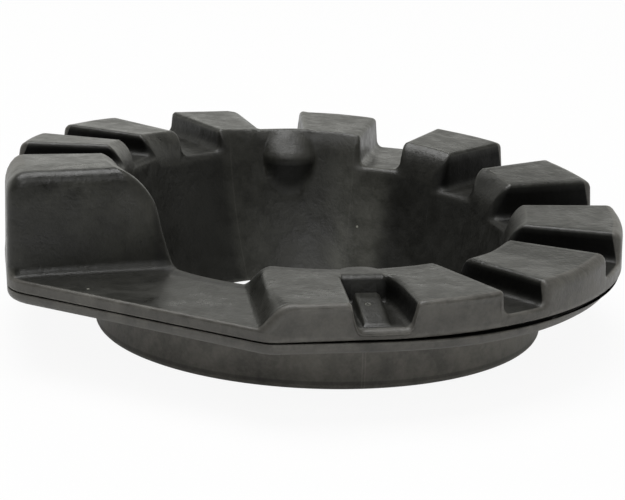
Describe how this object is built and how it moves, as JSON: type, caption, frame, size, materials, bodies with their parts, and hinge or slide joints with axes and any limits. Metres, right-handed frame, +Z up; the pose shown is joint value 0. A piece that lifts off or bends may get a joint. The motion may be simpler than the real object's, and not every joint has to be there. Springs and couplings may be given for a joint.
{
  "type": "coil spring insulator",
  "caption": "Moulded rubber coil spring seat: a flanged ring with a hub below, a bowl-shaped bore, and a stepped, rising seat of blocks ending in a tall stop.",
  "frame": {"origin": "centre of the footprint, at the level of the hub's flat underside", "axes": "+Z up along the bore, from the hub to the seat; -Y towards the pictured front, +X to the picture's right"},
  "size_m": [0.1566, 0.1602, 0.0455],
  "materials": {
    "black_rubber": "satin moulded rubber"
  },
  "bodies": {
    "root": {"spring_insulator": "black_rubber"}
  },
  "joints": []
}
